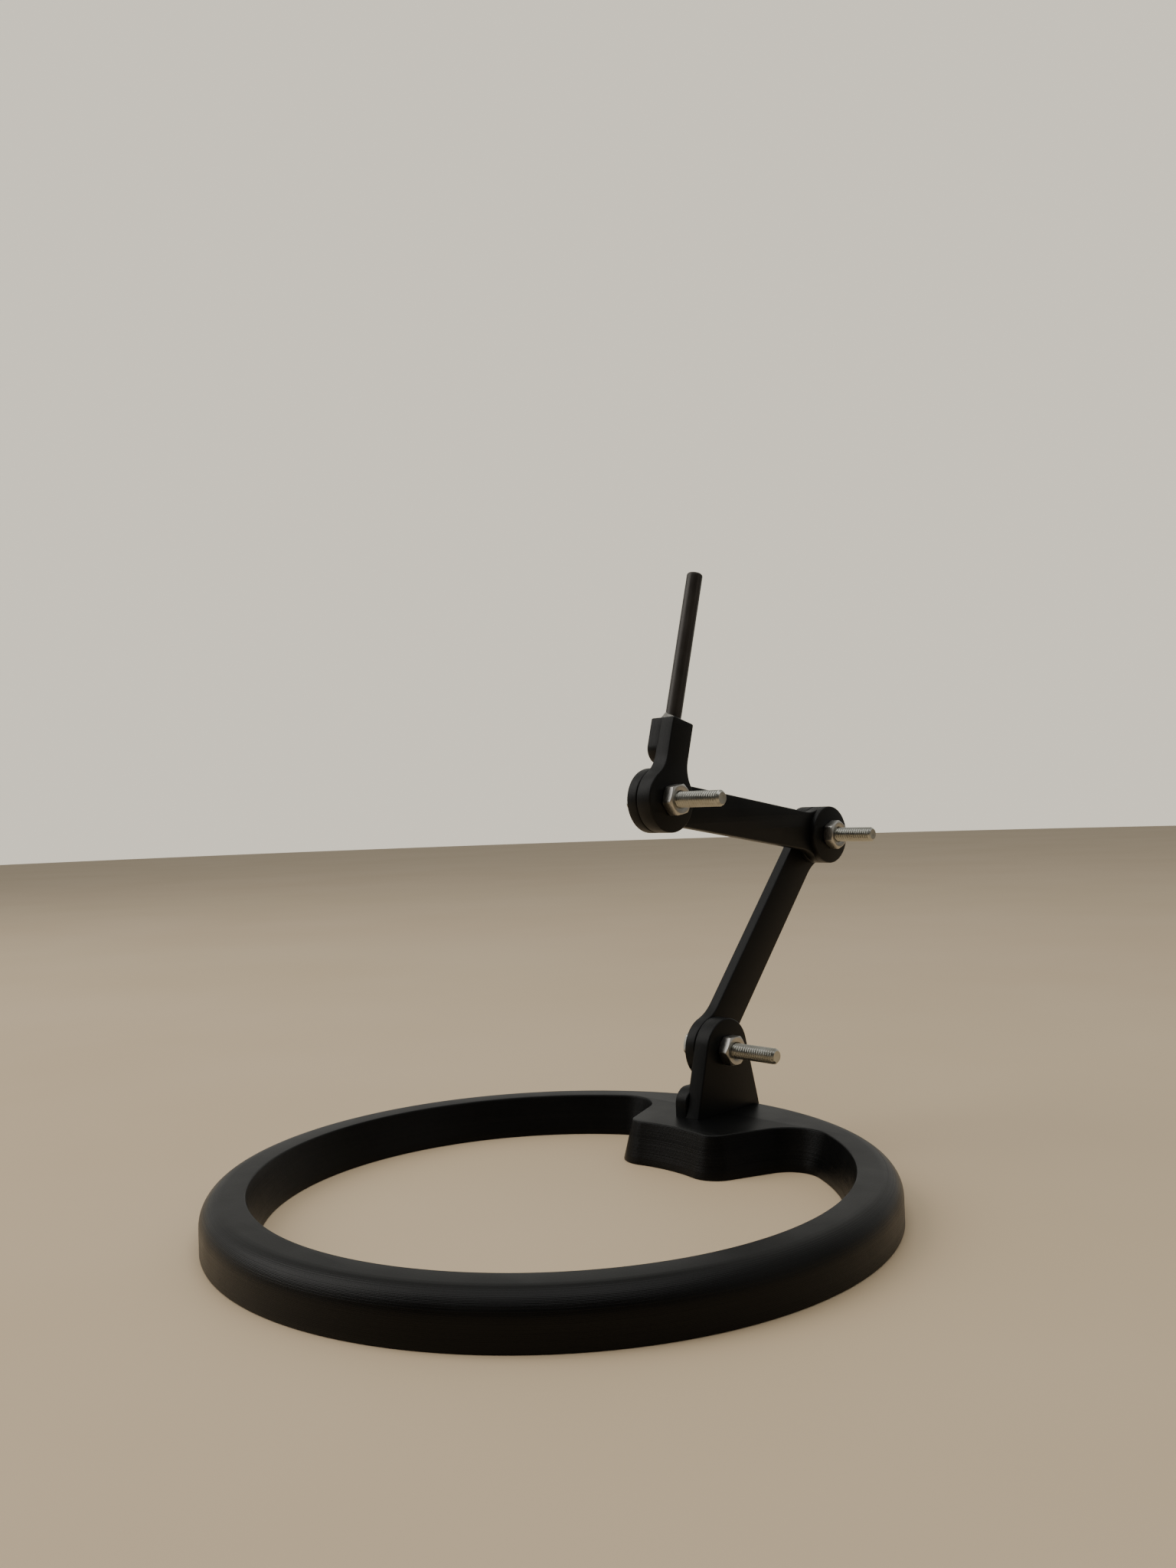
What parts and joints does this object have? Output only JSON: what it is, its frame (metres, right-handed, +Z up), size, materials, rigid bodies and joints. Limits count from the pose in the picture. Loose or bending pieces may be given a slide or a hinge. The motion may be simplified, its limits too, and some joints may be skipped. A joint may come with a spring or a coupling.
{
  "type": "ring stand with two-link arm",
  "caption": "Desk stand with a flat ring foot, a two-link bolted arm and a tilting head that holds a slim upright rod.",
  "frame": {"origin": "centre of the stand's bounding box, at the level of the table under the ring", "axes": "+Z up; +Y from the ring's centre towards the pad and the arm's elbow; +X towards the side of the nuts, along every bolt"},
  "size_m": [0.15, 0.1894, 0.1461],
  "materials": {
    "printed_plastic": "satin black, printed in fine layers",
    "zinc_steel": "zinc plated",
    "dark_rod": "smooth dark grey-brown",
    "clear_adhesive": "clear, slightly milky"
  },
  "bodies": {
    "base": {"base_ring": "printed_plastic", "base_bracket": "printed_plastic", "bracket_screws": "zinc_steel", "base_bolt": "zinc_steel", "base_lock_washer": "zinc_steel", "base_washer": "zinc_steel"},
    "base_nut": {"base_nut": "zinc_steel"},
    "lower_arm": {"lower_arm": "printed_plastic"},
    "upper_arm": {"upper_arm": "printed_plastic", "elbow_bolt": "zinc_steel", "elbow_lock_washer": "zinc_steel", "elbow_washer": "zinc_steel"},
    "elbow_nut": {"elbow_nut": "zinc_steel"},
    "head": {"head_bracket": "printed_plastic", "rod": "dark_rod", "rod_glue_bead": "clear_adhesive", "head_bolt": "zinc_steel", "head_lock_washer": "zinc_steel", "head_washer": "zinc_steel"},
    "head_nut": {"head_nut": "zinc_steel"}
  },
  "joints": [
    {"name": "base_tilt", "type": "hinge", "parent": "base", "child": "lower_arm", "pos_m": [0, 0.04074, 0.0255], "axis": [1, 0, 0], "range_deg": [-20, 40]},
    {"name": "elbow_tilt", "type": "hinge", "parent": "lower_arm", "child": "upper_arm", "pos_m": [0, 0.08676, 0.07825], "axis": [1, 0, 0], "range_deg": [-90, 24]},
    {"name": "head_tilt", "type": "hinge", "parent": "upper_arm", "child": "head", "pos_m": [0, 0.01762, 0.0892], "axis": [1, 0, 0], "range_deg": [-35, 75]},
    {"name": "base_nut_turn", "type": "hinge", "parent": "base", "child": "base_nut", "pos_m": [0, 0.04074, 0.0255], "axis": [1, 0, 0], "range_deg": [0, 180]},
    {"name": "elbow_nut_turn", "type": "hinge", "parent": "upper_arm", "child": "elbow_nut", "pos_m": [0, 0.08676, 0.07825], "axis": [1, 0, 0], "range_deg": [0, 180]},
    {"name": "head_nut_turn", "type": "hinge", "parent": "head", "child": "head_nut", "pos_m": [0, 0.01762, 0.0892], "axis": [1, 0, 0], "range_deg": [0, 180]}
  ]
}
